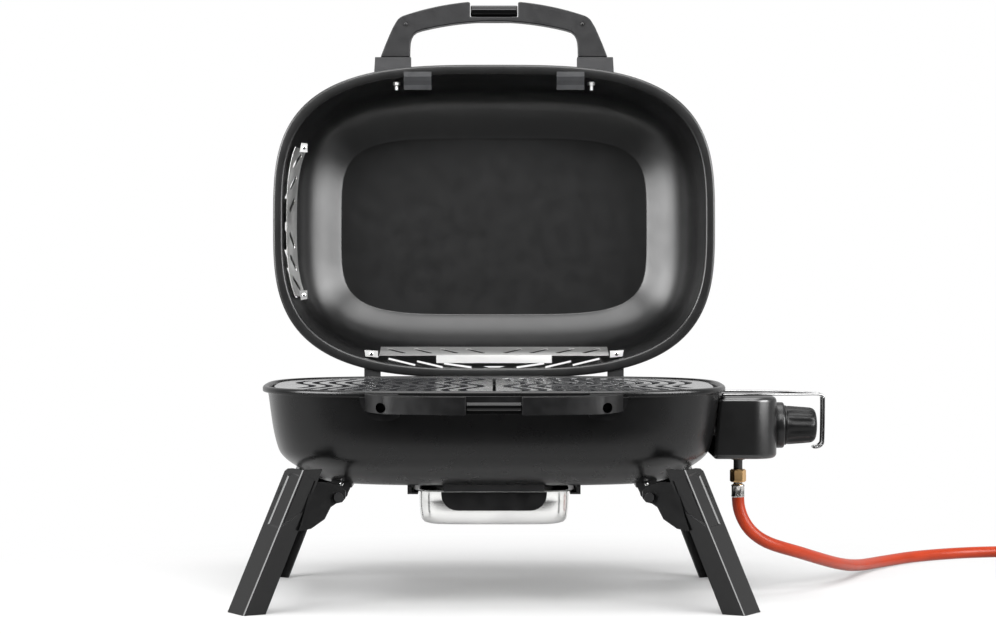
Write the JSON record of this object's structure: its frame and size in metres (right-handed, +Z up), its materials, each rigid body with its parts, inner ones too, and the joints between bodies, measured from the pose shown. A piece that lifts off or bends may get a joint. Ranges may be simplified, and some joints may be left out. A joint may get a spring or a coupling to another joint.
{
  "type": "folding camp gas grill",
  "caption": "Portable table-top gas grill: oval black bowl, hinged lid standing open, split wavy cooking grid, folding leg frames, side burner control, slide-out grease pan and gas hose.",
  "frame": {"origin": "on the supporting surface, below the middle of the grill's bounding box with the lid open and the gas hose left out", "axes": "+X towards the gas control (right, seen from the front), +Y from the front handle towards the lid's hinge, +Z up"},
  "size_m": [1.206, 0.7053, 0.7351],
  "materials": {
    "black_coat": "satin black powder coat",
    "black_plastic": "smooth black",
    "grey_plastic": "fine grained dark grey",
    "leg_plastic": "semi gloss black",
    "cast_enamel": "glossy dark grey enamel",
    "stainless": "bright rolled stainless",
    "polished_steel": "polished",
    "black_steel": "black coated steel",
    "brass": "plain machined",
    "hose_rubber": "smooth orange red",
    "ceramic": "glazed off white insulator"
  },
  "bodies": {
    "base": {"bowl": "black_coat", "control_box": "black_plastic", "knob_bezel": "black_plastic", "front_handle": "grey_plastic", "handle_bracket_left": "grey_plastic", "handle_bracket_right": "grey_plastic", "burner_tube": "stainless", "burner_support": "stainless", "heat_plate": "stainless", "grip_rod": "polished_steel", "hinge_pin_left": "polished_steel", "hinge_pin_right": "polished_steel", "knob_guard": "polished_steel", "hose_ferrule": "polished_steel", "grid_support_ring": "black_steel", "hinge_bracket_left": "black_steel", "hinge_bracket_right": "black_steel", "leg_bracket_left": "black_steel", "leg_bracket_right": "black_steel", "leg_pivot_rod_left": "black_steel", "leg_pivot_rod_right": "black_steel", "tray_rail_left": "black_steel", "tray_rail_right": "black_steel", "drain_chute": "black_steel", "gas_inlet_fitting": "black_steel", "gas_jet": "brass", "valve_body": "brass", "gas_nut": "brass", "regulator": "brass", "hose_run": "hose_rubber", "hose_coil": "hose_rubber", "hose_tail": "hose_rubber", "ignition_electrode": "ceramic"},
    "lid": {"lid_shell": "black_coat", "lid_handle": "grey_plastic", "lid_handle_foot_left": "grey_plastic", "lid_handle_foot_right": "grey_plastic", "lid_rest_pad_left": "grey_plastic", "lid_rest_pad_right": "grey_plastic", "lid_fixing_nut_left": "polished_steel", "lid_fixing_nut_right": "polished_steel", "rear_baffle": "stainless", "rear_baffle_clip_left": "stainless", "rear_baffle_clip_right": "stainless", "left_baffle": "stainless", "left_baffle_clip_front": "stainless", "left_baffle_clip_rear": "stainless", "lid_hinge_leaf_left": "black_steel", "lid_hinge_leaf_right": "black_steel"},
    "latch": {"latch": "black_plastic"},
    "valve_plug": {"valve_plug": "brass"},
    "knob": {"control_knob": "black_plastic", "valve_stem": "brass"},
    "left_leg": {"left_leg_frame": "leg_plastic"},
    "right_leg": {"right_leg_frame": "leg_plastic"},
    "tray": {"drip_pan": "polished_steel", "drip_pan_tab": "black_plastic"},
    "grid_left": {"grid_left": "cast_enamel"},
    "grid_right": {"grid_right": "cast_enamel"}
  },
  "joints": [
    {"name": "lid_hinge", "type": "hinge", "parent": "base", "child": "lid", "pos_m": [-0.045, 0.163, 0.2465], "axis": [-1, 0, 0], "range_deg": [-92.5, 0]},
    {"name": "latch_turn", "type": "hinge", "parent": "lid", "child": "latch", "pos_m": [-0.045, 0.20735, 0.72342], "axis": [1, 0, 0], "range_deg": [0, 178.5]},
    {"name": "left_leg_fold", "type": "hinge", "parent": "base", "child": "left_leg", "pos_m": [-0.223, -0.044, 0.132], "axis": [0, -1, 0], "range_deg": [0, 113.5]},
    {"name": "right_leg_fold", "type": "hinge", "parent": "base", "child": "right_leg", "pos_m": [0.133, -0.044, 0.132], "axis": [0, 1, 0], "range_deg": [0, 113.5]},
    {"name": "knob_turn", "type": "hinge", "parent": "base", "child": "valve_plug", "pos_m": [0.2613, -0.044, 0.205], "axis": [1, 0, 0], "range_deg": [0, 180]},
    {"name": "knob_push", "type": "slide", "parent": "valve_plug", "child": "knob", "axis": [-1, 0, 0], "range_m": [0, 0.003], "stiffness_N_per_m": 1200},
    {"name": "tray_slide", "type": "slide", "parent": "base", "child": "tray", "axis": [0, 1, 0], "range_m": [-0.2, 0]},
    {"name": "grid_left_lift", "type": "slide", "parent": "base", "child": "grid_left", "axis": [0, 0, 1], "range_m": [0, 0.06]},
    {"name": "grid_right_lift", "type": "slide", "parent": "base", "child": "grid_right", "axis": [0, 0, 1], "range_m": [0, 0.06]}
  ]
}
